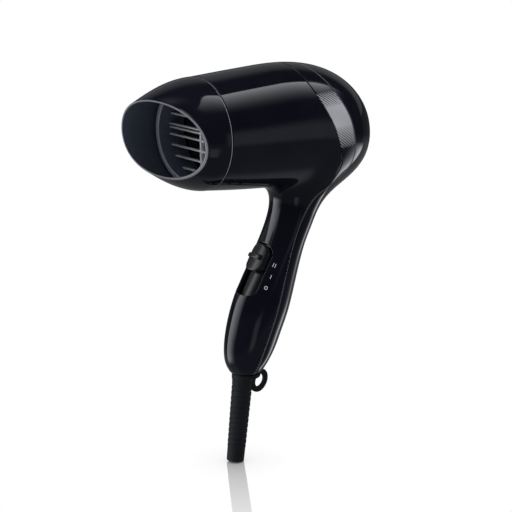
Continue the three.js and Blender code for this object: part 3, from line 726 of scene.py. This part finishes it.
# Painted highlight: the sleeve's front face is coloured pale grey for the bright arc it catches.
FACE_HIGHLIGHT = moulded("outlet_face_painted_highlight", (0.50, 0.51, 0.55), 0.4)
# Painted highlight: the outlet bars are black plastic, coloured near white so they read as lit
# lines.
BARS_HIGHLIGHT = moulded("outlet_bars_painted_highlight", (0.74, 0.75, 0.78), 0.35)
# Painted highlight: the nozzle's rear edge at the seam is coloured pale grey for the light line
# along it.
SEAM = moulded("nozzle_seam_painted_highlight", (0.50, 0.505, 0.53), 0.3)
MARK = stock("mark_white", (0.78, 0.78, 0.78), 0.4, 0.04)

for part in frame["record"]["subparts"]:
    node = bpy.data.objects.get(part["node"])
    if node is not None and part["material_slot"] in MAT:
        node.data.materials.clear()
        node.data.materials.append(MAT[part["material_slot"]])


# ---- Housings ----------------------------------------------------------------------------
INTAKE_Z, INTAKE_R, INTAKE_PITCH, INTAKE_SLOT = -11.0, 17.0, 4.4, 2.4
INTAKE_FROM = 98.0         # only the back of the dome has slots
SCREWS = [(-66.0, 70.0), (-140.0, 41.5)]   # height and where the head seats
HEAD_R, BAND_END = 3.1, -43.5


def intake_field(p):
    """Positive inside a slot at the back of the dome."""
    x, y, z = p[..., 0], p[..., 1], p[..., 2] - INTAKE_Z
    row = np.clip(np.round(z / INTAKE_PITCH), -3, 3)
    half = np.sqrt(INTAKE_R ** 2 - (row * INTAKE_PITCH) ** 2) - INTAKE_SLOT / 2
    reach = np.sqrt(np.maximum(np.abs(y) - half, 0) ** 2 + (z - row * INTAKE_PITCH) ** 2)
    return np.minimum(INTAKE_SLOT / 2 - reach, x - INTAKE_FROM)


def screw_field(p):
    """Positive inside a screw's counterbore in the rear of the grip."""
    value = np.full(p.shape[:-1], -1e3)
    for z, head in SCREWS:
        reach = np.sqrt(p[..., 1] ** 2 + (p[..., 2] - z) ** 2)
        value = np.maximum(value, np.minimum(HEAD_R - reach, p[..., 0] - head + 1))
    return value


LIP = 0.45
SIDE = GAP / 2 + LIP


def near_cut(p):
    return ((np.abs(seam_field(p)) < 1.2) | (np.abs(rear_field(p)) < 1.2)
            | (np.abs(slot_field(p)) < 1.6) | (screw_field(p) > -1.5))


def near_intake(p):
    return (p[:, 0] > 100) & (np.hypot(p[:, 1], p[:, 2] - INTAKE_Z) < INTAKE_R + 2)


def everywhere(p):
    return np.ones(len(p), bool)


skin_v, skin_t = refine(*body_surface(), near_cut, body_field)
skin_v, skin_t = refine(skin_v, skin_t, near_intake, body_field, 2)


def housing(*cuts):
    v, t = skin_v, skin_t
    for cut in cuts:
        v, t = clip(v, t, cut, body_field)
    return v, t


v, t = housing(lambda p: LIP - p[..., 0], lambda p: seam_field(p) + SIDE,
               lambda p: slot_field(p) + LIP)
piece("front_shell", *shelled(v, t, body_field, LIP), "body", "gloss_shell", MAT["gloss_shell"],
      "front_housing")

v, t = housing(lambda p: SIDE - rear_field(p), lambda p: screw_field(p) + LIP,
               lambda p: intake_field(p) + LIP)
open_faces = len(t)
v, t, n = shelled(v, t, body_field, LIP)
rear = piece("rear_shell", v, t, n, "body", "gloss_shell", MAT["gloss_shell"], "rear_housing")
# The lip strips of the rear shell take the painted highlight grey.
rear.data.materials.append(EDGE_HIGHLIGHT)
number = np.arange(len(t))
rim_faces = (len(t) - 2 * open_faces) * LIP_STEPS // (LIP_STEPS + 2)
lip = (number >= open_faces) & (number < open_faces + rim_faces)
rear.data.polygons.foreach_set("material_index", lip.astype(np.int32))

v, t = housing(lambda p: SIDE - seam_field(p), lambda p: rear_field(p) + SIDE,
               lambda p: BAND_END - p[..., 2])
v, t = refine(v, t, everywhere, body_field)
piece("trim_skin", *shelled(v, t, body_field, LIP, 1.0), "body", "silver_trim", MAT["silver_trim"],
      "trim_band")

for k, (z, head) in enumerate(SCREWS):
    back = float(grip_rear(z)) - 1.0
    cup = [(head - 2.2, 1.75), (head - 0.4, 1.75), (head - 0.3, HEAD_R), (back, 3.2),
           (back + 0.2, 3.5), (back - 0.2, 4.2), (head - 2.2, 4.2)]
    v, q = lathe(cup, (0, 0, z), (1, 0, 0), 40)
    piece(f"screw_well_{k + 1}", v, q, None, "body", "gloss_shell", MAT["gloss_shell"])

# ---- Nozzle ------------------------------------------------------------------------------
NOZZLE_WALL, NOZZLE_SIDES, NOZZLE_EDGE = 1.5, 168, 0.5
MOUTH, MOUTH_N = 36.8, np.array([-1.0, -0.667, -0.153])
BORE = ((8.9, 28.95), (8.4, 28.9), (0.5, 28.9), (0.3, 29.2), (0.3, 31.5))   # depth and radius
# First and last ring of quads with painted highlights (seam, rim, face) or painted light (inside).
SEAM_RINGS, RIM_RINGS, INSIDE_RINGS, FACE_RINGS = (1, 2), (49, 53), (57, 88), (1, 7)


def between(rings, ends):
    return (rings >= ends[0]) & (rings <= ends[1])


def nozzle_point(d, angle, inset=0.0):
    """The skin at a depth and a turn from the top; it narrows, flattens and lifts as it runs on."""
    u = np.maximum(d, 0) / 40
    tall = OUTLET_R - 20.0 * u * u + 6.1 * u ** 3 - inset
    wide = tall - 3.4 * u * u
    return np.stack([-d + 0 * angle, -np.sin(angle) * wide + 0.75 * u,
                     4.66 * u ** 1.5 + np.cos(angle) * tall], -1)


def mouth_depth(angle, inset, back):
    """How far forward each line of the skin runs before it meets the mouth plane."""
    d = np.full(len(angle), 30.0)
    level = MOUTH - back * np.linalg.norm(MOUTH_N)
    for _ in range(60):
        miss = nozzle_point(d, angle, inset) @ MOUTH_N - level
        d = np.clip(d - 0.6 * miss, 5, 60)
    return d


def nozzle():
    sides, edge, half = NOZZLE_SIDES, NOZZLE_EDGE, NOZZLE_WALL / 2
    angle = 2 * math.pi * np.arange(sides) / sides
    rows = [nozzle_point(np.full(sides, GAP + edge * (1 - math.sin(a))), angle,
                         edge * (1 - math.cos(a))) for a in np.linspace(0, math.pi / 2, 4)[::-1]]
    outer, inner = mouth_depth(angle, 0, half), mouth_depth(angle, NOZZLE_WALL, half)
    for k in np.linspace(0, 1, 44)[1:]:
        rows.append(nozzle_point(GAP + edge + (outer - GAP - edge) * k, angle))
    a, b = nozzle_point(outer, angle), nozzle_point(inner, angle, NOZZLE_WALL)
    facing = unit(MOUTH_N)
    for s in np.linspace(0, math.pi, 12)[1:-1]:
        rows.append((a + b) / 2 + (a - b) / 2 * math.cos(s) + facing * half * math.sin(s))
    for k in np.linspace(0, 1, 30):
        rows.append(nozzle_point(inner + (9.2 - inner) * k, angle, NOZZLE_WALL))
    for d, r in BORE:
        rows.append(np.stack([np.full(sides, -d), -np.sin(angle) * r, np.cos(angle) * r], -1))
    return ribbon(np.array(rows))


v, q = nozzle()
skin = piece("nozzle_skin", v, q[:, ::-1], None, "nozzle", "gloss_nozzle", MAT["gloss_nozzle"],
             "nozzle", crease=45)
# Painted light on the nozzle's inside, painted highlights on its mouth rim and its rear seam edge.
for painted_light_mat in (INSIDE_PAINTED_LIGHT, RIM_HIGHLIGHT, SEAM):
    skin.data.materials.append(painted_light_mat)
ring_of = np.arange(len(q)) // NOZZLE_SIDES
painted_light_index = (between(ring_of, INSIDE_RINGS) + 2 * between(ring_of, RIM_RINGS)
             + 3 * between(ring_of, SEAM_RINGS))
skin.data.polygons.foreach_set("material_index", painted_light_index.astype(np.int32))

# ---- Outlet sleeve and bars --------------------------------------------------------------
SLEEVE = [(6.6, 28.6), (-11.4, 28.6)] + arc((-11.3, 27.9), 0.7, 90, 180, 4)[1:] + \
         arc((-11.3, 26.3), 0.7, 180, 270, 4) + [(6.8, 25.6), (6.8, 28.4)]
SLEEVE_SIDES = 120
v, q = lathe(SLEEVE, (0, 0, 0), (1, 0, 0), SLEEVE_SIDES)
sleeve = piece("outlet_sleeve", v, q, None, "body", "heat_plastic", INSIDE_PAINTED_LIGHT, "outlet_grille")
# The sleeve's inside takes the painted light colour, its front face the painted highlight grey.
sleeve.data.materials.append(FACE_HIGHLIGHT)
ring_of = np.arange(len(q)) // SLEEVE_SIDES
sleeve.data.polygons.foreach_set("material_index", between(ring_of, FACE_RINGS).astype(np.int32))


def bar(name, low, high, bevel):
    """A moulded bar: rounded in section, run between its two ends along its longest side."""
    low, high = np.array(low, float), np.array(high, float)
    size = high - low
    axis = int(size.argmax())
    u, w = [k for k in range(3) if k != axis]
    ring = []
    for corner, (su, sw) in enumerate(((1, 1), (-1, 1), (-1, -1), (1, -1))):
        for a in np.linspace(0, math.pi / 2, 4):
            turn = corner * math.pi / 2 + a
            ring.append((su * (size[u] / 2 - bevel) + bevel * math.cos(turn),
                         sw * (size[w] / 2 - bevel) + bevel * math.sin(turn)))
    ring = np.array(ring)
    rows = []
    for s in np.linspace(0, 1, 9):
        p = np.zeros((len(ring), 3))
        p[:, axis] = low[axis] + size[axis] * s
        p[:, u] = (low[u] + high[u]) / 2 + ring[:, 0]
        p[:, w] = (low[w] + high[w]) / 2 + ring[:, 1]
        rows.append(p)
    rows = np.array(rows)
    n, m = rows.shape[:2]
    grid = np.arange(n * m).reshape(n, m)
    q = np.stack([grid[:-1], np.roll(grid[:-1], -1, 1), np.roll(grid[1:], -1, 1), grid[1:]], -1)
    q = q.reshape(-1, 4)
    tri = np.concatenate([q[:, :3], q[:, [0, 2, 3]]])
    ends = []
    for ring_no, way in ((0, 1), (n - 1, -1)):
        loop = grid[ring_no][::way]
        ends.append(np.stack([np.full(m - 2, loop[0]), loop[2:], loop[1:-1]], -1))
    tri = np.concatenate([tri] + ends)
    centre = (low + high) / 2
    v = rows.reshape(-1, 3)
    face = np.cross(v[tri[:, 1]] - v[tri[:, 0]], v[tri[:, 2]] - v[tri[:, 0]])
    if (face * (v[tri].mean(axis=1) - centre)).sum() < 0:
        tri = tri[:, ::-1]
    # The bars take the near-white painted highlight colour.
    piece(name, v, tri, None, "body", "heat_plastic", BARS_HIGHLIGHT)


REACH, RIB_Y = 27.4, -6.5
BAR_PITCH, TOP_BAR, EXTRA_BAR = 6.4, 22.5, 1.2   # eight even bars, and one close under the fourth
half = math.sqrt(REACH ** 2 - RIB_Y ** 2)
bar("outlet_rib", (-4, RIB_Y - 0.6, -half), (-1, RIB_Y + 0.6, half), 0.35)
for k, z in enumerate([TOP_BAR - BAR_PITCH * k for k in range(8)] + [EXTRA_BAR]):
    half = math.sqrt(REACH ** 2 - z * z)
    bar(f"outlet_bar_{k + 1}", (-3.6, -half, z - 0.5), (-1.2, half, z + 0.5), 0.3)

# ---- Switch ------------------------------------------------------------------------------
KNOB_UP, KNOB_HALF, KNOB_CORNER = 7.6, (9.0, 7.9), 6.0
SWITCH_PITCH, BOOT_PITCH = 0.32, 0.36


def knob_field(p):
    q = p - SLOT_AT
    u, y = q @ SLOT_UP - KNOB_UP, p[..., 1]
    form = body_field(p)
    side = round_box(u, y, *KNOB_HALF, KNOB_CORNER)
    crown = 0.7 + 0.25 * np.clip(1 - (u / 9.2) ** 2, 0, 1)
    cap = smax(smax(form - crown, side, 1.5), -3.0 - form, 0.8)
    ridge = smax(round_box(u - 0.2, y, 1.5, 5.8, 1.4), np.abs(form - 0.8) - 2.1, 1.3)
    return smin(cap, ridge, 0.5)


def box_around(points, extra):
    points = np.array(points)
    return points.min(axis=0) - extra, points.max(axis=0) + extra


low, high = box_around([SLOT_AT + SLOT_UP * s + SLOT_OUT * o + [0, y, 0] for s in (-3, 17)
                        for o in (-6, 2.4) for y in (-8.7, 8.7)], 0.8)
v, t, n = nets(knob_field, low, high, SWITCH_PITCH)
piece("switch_thumb", v, t, n, "switch", "satin_black", MAT["satin_black"], "switch_knob")

v, t = refine(*housing(lambda p: slot_shape(p, 18.6, 10.0, 7.2),
                       lambda p: -8 - (p - SLOT_AT) @ SLOT_OUT), everywhere, body_field)
v, t, n = shelled(v, t, body_field, 0.2, 1.1, -3.9)
piece("switch_floor", v, t, n, "body", "satin_black", MAT["satin_black"], "switch_track")

# ---- Marks -------------------------------------------------------------------------------
def stroke(points, width, closed=False):
    """A thin raised ribbon on the body's surface along points of the side of the grip."""
    points = np.array(points, float)
    if closed:
        points = np.concatenate([points, points[:1]])
    fine = []
    for a, b in zip(points[:-1], points[1:]):
        steps = max(int(np.linalg.norm(b - a) / 0.12), 2)
        fine.append(a + (b - a) * np.linspace(0, 1, steps, endpoint=False)[:, None])
    fine = np.concatenate(fine + [points[-1:]])
    fine = settle(fine, [body_field], 3)
    n = normals_of(body_field, fine)
    way = unit(np.gradient(fine, axis=0))
    if closed:
        way[0] = way[-1] = unit(way[0] + way[-1])
    side = unit(np.cross(n, way)) * width / 2
    rows = np.stack([fine - side - 0.08 * n, fine - side * 0.92 + 0.05 * n,
                     fine + side * 0.92 + 0.05 * n, fine + side - 0.08 * n], 1)
    m = len(rows)
    grid = np.arange(m * 4).reshape(m, 4)
    q = np.stack([grid[:-1], grid[1:], np.roll(grid[1:], -1, 1), np.roll(grid[:-1], -1, 1)], -1)
    q = q.reshape(-1, 4)
    if not closed:
        q = np.concatenate([q, grid[0][None], grid[-1][None, ::-1]])
    return rows.reshape(-1, 3), q


def mark(name, at, shapes, tall=2.6):
    at = settle(np.array([at], float), [body_field])[0]
    n = normals_of(body_field, at[None])[0]
    up = unit(SLOT_UP - n * (SLOT_UP @ n))
    right = np.cross(up, n)
    vs, qs, base = [], [], 0
    for points, closed in shapes:
        flat = [at + right * a * tall + up * b * tall for a, b in points]
        v, q = stroke(flat, 0.4, closed)
        vs.append(v)
        qs.append(q + base)
        base += len(v)
    v, q = np.concatenate(vs), np.concatenate(qs)
    piece(name, v, q, None, "body", "gloss_shell", MARK)


def bars(*places):
    return [([(x, -0.5), (x, 0.5)], False) for x in places]


OVAL = [(0.44 * math.cos(a), 0.47 * math.sin(a)) for a in np.linspace(0, 2 * math.pi, 25)[:-1]]
mark("mark_high", (46.0, -11.8, -86.5), bars(-0.27, 0.27))
mark("mark_low", (42.8, -12.3, -93.2), bars(0.0))
mark("mark_off", (38.9, -12.3, -99.5), [(OVAL, True)], 2.1)

# ---- Cord boot ---------------------------------------------------------------------------
BOOT_TOP, BOOT_END = np.array([29.1, 0, -156.8]), np.array([21.9, 0, -210.94])
BOOT_LONG = float(np.linalg.norm(BOOT_END - BOOT_TOP))
BOOT_WAY = (BOOT_END - BOOT_TOP) / BOOT_LONG
RIB_PITCH, RIB_FIRST, SLEEVE_LONG = 3.4, 6.2, 9.5
LOOP_AT, LOOP_WAY = np.array([41.4, 0, -162.3]), np.array([0.5, 0, 0.866])
LOOP_R, LOOP_HALF, LOOP_STRETCH = 4.6, 1.42, 1.28
FLANGE_X, FLANGE_Z, FLANGE_DEEP, FLANGE_WIDE = 31.7, -156.7, 9.1, 8.2


def boot_field(p):
    q = p - BOOT_TOP
    s = q @ BOOT_WAY
    r = np.linalg.norm(q - s[..., None] * BOOT_WAY, axis=-1)
    ribbed = BOOT_LONG - SLEEVE_LONG
    radius = 6.5 - 0.9 * s / BOOT_LONG
    phase = (s - RIB_FIRST) / RIB_PITCH
    notch = np.exp(-((phase - np.round(phase)) * RIB_PITCH / 0.42) ** 2)
    notch = notch * smooth(RIB_FIRST - 1.2, RIB_FIRST - 0.4, s)
    notch = notch * (1 - smooth(ribbed - 0.6, ribbed + 0.3, s))
    radius = radius - 0.34 * notch - 0.15 * smooth(ribbed, ribbed + 0.5, s)
    body = smax(r - radius, s - BOOT_LONG, 0.9)
    body = smax(body, -s - 3, 0.5)
    flange = np.sqrt(((p[..., 0] - FLANGE_X) / FLANGE_DEEP) ** 2 + (p[..., 1] / FLANGE_WIDE) ** 2)
    flange = (flange - 1) * 8.4
    flange = smax(flange, np.abs(p[..., 2] - FLANGE_Z) - 1.25, 1.0)
    w = p - LOOP_AT
    along, over = w @ LOOP_WAY, w[..., 0] * LOOP_WAY[2] - w[..., 2] * LOOP_WAY[0]
    ring = np.abs(np.hypot(along / LOOP_STRETCH, over) - LOOP_R) - LOOP_HALF
    ring = smax(ring, np.abs(w[..., 1]) - 1.5, 1.5)
    ring = smax(ring, p[..., 2] + 155.6, 0.8)
    whole = smin(smin(body, flange, 2.2), ring, 2.4)
    bore = smax(r - 3.2, BOOT_LONG - 12 - s, 0.5)
    return smax(whole, -bore, 0.6)


v, t, n = nets(boot_field, (14.5, -9.2, -213.2), (50.0, 9.2, -154.6), BOOT_PITCH, 1)
piece("boot_sleeve", v, t, n, "body", "soft_rubber", MAT["soft_rubber"], "cord_boot")

# ---- Camera, light and floor --------------------------------------------------------------
CAMERA_AT, CAMERA_AIM = Vector((-0.70495, -0.93883, 0.42947)), Vector((-0.02088, -0.0297, 0.13915))
CAMERA_ROLL, LENS = 0.958, 138.16          # degrees, millimetres


def camera():
    roll = math.radians(CAMERA_ROLL)
    look = (CAMERA_AIM - CAMERA_AT).normalized()
    right = look.cross(Vector((0, 0, 1))).normalized()
    up = right.cross(look)
    right, up = (right * math.cos(roll) - up * math.sin(roll),
                 up * math.cos(roll) + right * math.sin(roll))
    data = bpy.data.cameras.new("photo_camera")
    data.sensor_width = 36
    data.lens = LENS
    data.clip_start, data.clip_end = 0.01, 50
    obj = bpy.data.objects.new("photo_camera", data)
    turn = Matrix((right, up, -look)).transposed().to_4x4()
    obj.matrix_world = Matrix.Translation(CAMERA_AT) @ turn
    bpy.context.scene.collection.objects.link(obj)
    bpy.context.scene.camera = obj


camera()
bpy.context.scene.view_settings.view_transform = "Standard"

AMBIENT = 0.55             # even light that only dull surfaces receive
HEADING = (0.5736, 0.8192)   # the level direction that the camera looks in
LAMP, WHITE = (0.95, 0.97, 1.02, 1), (1, 1, 1, 1)


def studio():
    """A dark studio with one overhead softbox and upright strips; the camera sees white instead."""
    world = bpy.data.worlds.new("studio")
    bpy.context.scene.world = world
    world.use_nodes = True
    g = Graph(world.node_tree)
    x, y, z = g.parts(g.node("ShaderNodeTexCoord").outputs["Generated"])
    path = g.node("ShaderNodeLightPath")
    deg = 180 / math.pi
    # around the barrel: 0 at the horizon on the camera's side, 90 overhead, 180 behind
    around = g.math("ARCTAN2", z, y * -1.0) * deg
    front = x * -HEADING[0] + y * -HEADING[1]
    right = x * HEADING[1] + y * -HEADING[0]
    turn = g.math("ARCTAN2", right, front) * deg
    lift = g.math("ARCSINE", z) * deg
    side = g.math("ABSOLUTE", x)
    edge = g.ramp(x, -0.1, 0.4, 56.0, 83.0)
    top = g.ramp(around, 40.0, 83.0, kind="LINEAR")
    top = g.math("POWER", top, 2.0) * g.fall(around - edge, 0.0, 2.5)
    top = top * g.fall(side, 0.72, 0.93) * g.ramp(x, -0.08, 0.08) * 3.4
    far = g.ramp(around, 112.0, 140.0) * g.fall(around, 166.0, 176.0) * 0.2
    brow = g.ramp(x, 0.15, -0.15) * g.ramp(around, 66.0, 95.0) * g.fall(around, 125.0, 140.0) * 0.5
    floor = (0.09 + g.ramp(around, -76.0, -96.0) * 0.12) * g.ramp(lift, -20.0, -10.0, 1.0, 0.3)
    outer = g.ramp(lift, 8.0, 38.0, -106.0, -90.0)
    left_strip = g.ramp(turn - outer, -4.0, 2.0) * g.fall(turn, -98.0, -40.0)
    right_strip = g.math("POWER", g.ramp(turn, 100.0, 125.0, kind="LINEAR"), 2.0)
    right_strip = right_strip * g.fall(turn, 126.0, 131.0)
    right_strip = right_strip * g.ramp(lift, -50.0, -42.0) * g.fall(lift, -26.0, -17.0)
    upright = g.ramp(lift, -40.0, -20.0)
    strips = left_strip * 2.7 * g.fall(lift, 50.0, 70.0) * upright
    strips = strips + right_strip * 3.2
    ambient = Value(g, path.outputs["Is Diffuse Ray"]) * AMBIENT
    light = top + far + brow + floor + strips + ambient
    studio_light = g.node("ShaderNodeBackground", {"Color": LAMP, "Strength": light})
    seen = g.node("ShaderNodeBackground", {"Color": WHITE, "Strength": 1.0})
    seen_by = g.math("MAXIMUM", Value(g, path.outputs["Is Camera Ray"]),
                     Value(g, path.outputs["Is Singular Ray"]))
    mix = g.node("ShaderNodeMixShader", {0: seen_by, 1: studio_light.outputs[0],
                                         2: seen.outputs[0]})
    g.node("ShaderNodeOutputWorld", {0: mix.outputs[0]})


studio()


def card(name, middle, along, half_width, low, high, strength):
    """A soft strip of light near the dryer, at the height of the part that mirrors it.

    half_width, low and high are each two places in millimetres, where the light starts to fade
    and where it has gone (low: where it starts and where it is full).
    """
    middle, along = np.array([*middle, 0.0]), np.array([*along, 0.0])
    corners = ((-1, low[0]), (1, low[0]), (1, high[1]), (-1, high[1]))
    v = np.array([middle + along * side * half_width[1] + [0, 0, z] for side, z in corners])
    obj = add(name, v - ORIGIN, np.array([[0, 1, 2, 3]]), None, 0)
    mat = bpy.data.materials.new(name)
    mat.use_nodes = True
    g = Graph(mat.node_tree)
    x, y, z = g.parts(g.node("ShaderNodeTexCoord").outputs["Object"])
    place = (x - middle[0] / 1000) * along[0] + (y - middle[1] / 1000) * along[1]
    glow = g.ramp(g.math("ABSOLUTE", place), half_width[0] / 1000, half_width[1] / 1000,
                  strength, 0.0)
    glow = glow * g.ramp(z, low[0] / 1000, low[1] / 1000)
    glow = glow * g.fall(z, high[0] / 1000, high[1] / 1000)
    light = g.node("ShaderNodeEmission", {"Color": LAMP, "Strength": glow})
    clear = g.node("ShaderNodeBsdfTransparent")
    both = g.node("ShaderNodeAddShader", {0: light.outputs[0], 1: clear.outputs[0]})
    g.node("ShaderNodeOutputMaterial", {0: both.outputs[0]})
    obj.data.materials.append(mat)
    obj.visible_camera = obj.visible_shadow = obj.visible_diffuse = False


FLOOR_HALF = 9000.0


def floor():
    half = FLOOR_HALF
    v = np.array([(-half, -half, 0), (half, -half, 0), (half, half, 0), (-half, half, 0)], float)
    obj = add("floor", v - ORIGIN, np.array([[0, 1, 2, 3]]), None, 0)
    mat = bpy.data.materials.new("pale_floor")
    mat.use_nodes = True
    g = Graph(mat.node_tree)
    x, y, _ = g.parts(g.node("ShaderNodeTexCoord").outputs["Object"])
    foot = (BOOT_END[0] + ORIGIN[0]) / 1000
    reach = g.math("SQRT", (x - foot) * (x - foot) + y * y)
    shine = g.ramp(reach, 0.008, 0.085, 0.51, 0.25, "LINEAR") * g.fall(reach, 0.09, 0.112)
    # Painted contact shadow: the floor glows evenly and is darkened by ambient occlusion near the
    # dryer instead of being lit.
    shade = g.node("ShaderNodeAmbientOcclusion", {"Distance": 0.03}, samples=8)
    soft = g.math("POWER", Value(g, shade.outputs["AO"]), 0.8)
    glow = g.node("ShaderNodeEmission", {"Color": WHITE, "Strength": soft})
    mirror = g.node("ShaderNodeBsdfGlossy", {"Color": WHITE, "Roughness": 0.0})
    mix = g.node("ShaderNodeMixShader", {0: shine, 1: glow.outputs[0], 2: mirror.outputs[0]})
    g.node("ShaderNodeOutputMaterial", {0: mix.outputs[0]})
    obj.data.materials.append(mat)
    obj.visible_glossy = False
    obj.visible_diffuse = False


card("barrel_card", (162, -280), (0.819, 0.574), (50, 150), (75, 150), (185, 285), 0.27)
card("grip_card", (-52, -310), (0.992, -0.122), (8, 75), (-45, -10), (60, 115), 0.35)
floor()
